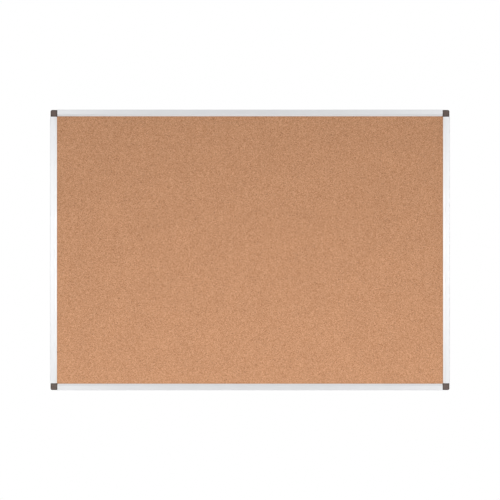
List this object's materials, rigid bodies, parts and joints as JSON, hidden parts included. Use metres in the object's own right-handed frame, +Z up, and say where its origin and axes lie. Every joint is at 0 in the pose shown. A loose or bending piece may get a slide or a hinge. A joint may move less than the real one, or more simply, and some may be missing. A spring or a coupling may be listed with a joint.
{
  "type": "cork bulletin board",
  "caption": "Wall-hung bulletin board: a cork-faced softboard panel in a slim aluminium frame, with plastic corners whose caps pull off to reach the wall screws.",
  "frame": {"origin": "centre of the four wall-screw holes, on the plane of the wall that the frame's back lies against", "axes": "+X to the right as seen by someone facing the board, +Y into the wall, +Z up; the cork faces -Y"},
  "size_m": [1.01, 0.016, 0.71],
  "materials": {
    "cork": "fine agglomerated cork, sanded, unsealed",
    "softboard": "raw wood-fibre softboard",
    "backing_card": "plain kraft card",
    "anodised_aluminium": "satin silver anodised extrusion",
    "corner_plastic": "fine moulded texture",
    "cap_plastic": "fine moulded texture",
    "screw_steel": "bright zinc-plated steel"
  },
  "bodies": {
    "board": {"cork_sheet": "cork", "core_board": "softboard", "backing_sheet": "backing_card", "top_rail": "anodised_aluminium", "bottom_rail": "anodised_aluminium", "left_rail": "anodised_aluminium", "right_rail": "anodised_aluminium", "corner_top_left": "corner_plastic", "corner_top_right": "corner_plastic", "corner_bottom_left": "corner_plastic", "corner_bottom_right": "corner_plastic", "rail_screws": "screw_steel"},
    "cap_top_left": {"cap_top_left": "cap_plastic"},
    "cap_top_right": {"cap_top_right": "cap_plastic"},
    "cap_bottom_left": {"cap_bottom_left": "cap_plastic"},
    "cap_bottom_right": {"cap_bottom_right": "cap_plastic"}
  },
  "joints": [
    {"name": "pull_cap_top_left", "type": "slide", "parent": "board", "child": "cap_top_left", "axis": [0, -1, 0], "range_m": [0, 0.03]},
    {"name": "pull_cap_top_right", "type": "slide", "parent": "board", "child": "cap_top_right", "axis": [0, -1, 0], "range_m": [0, 0.03]},
    {"name": "pull_cap_bottom_left", "type": "slide", "parent": "board", "child": "cap_bottom_left", "axis": [0, -1, 0], "range_m": [0, 0.03]},
    {"name": "pull_cap_bottom_right", "type": "slide", "parent": "board", "child": "cap_bottom_right", "axis": [0, -1, 0], "range_m": [0, 0.03]}
  ]
}
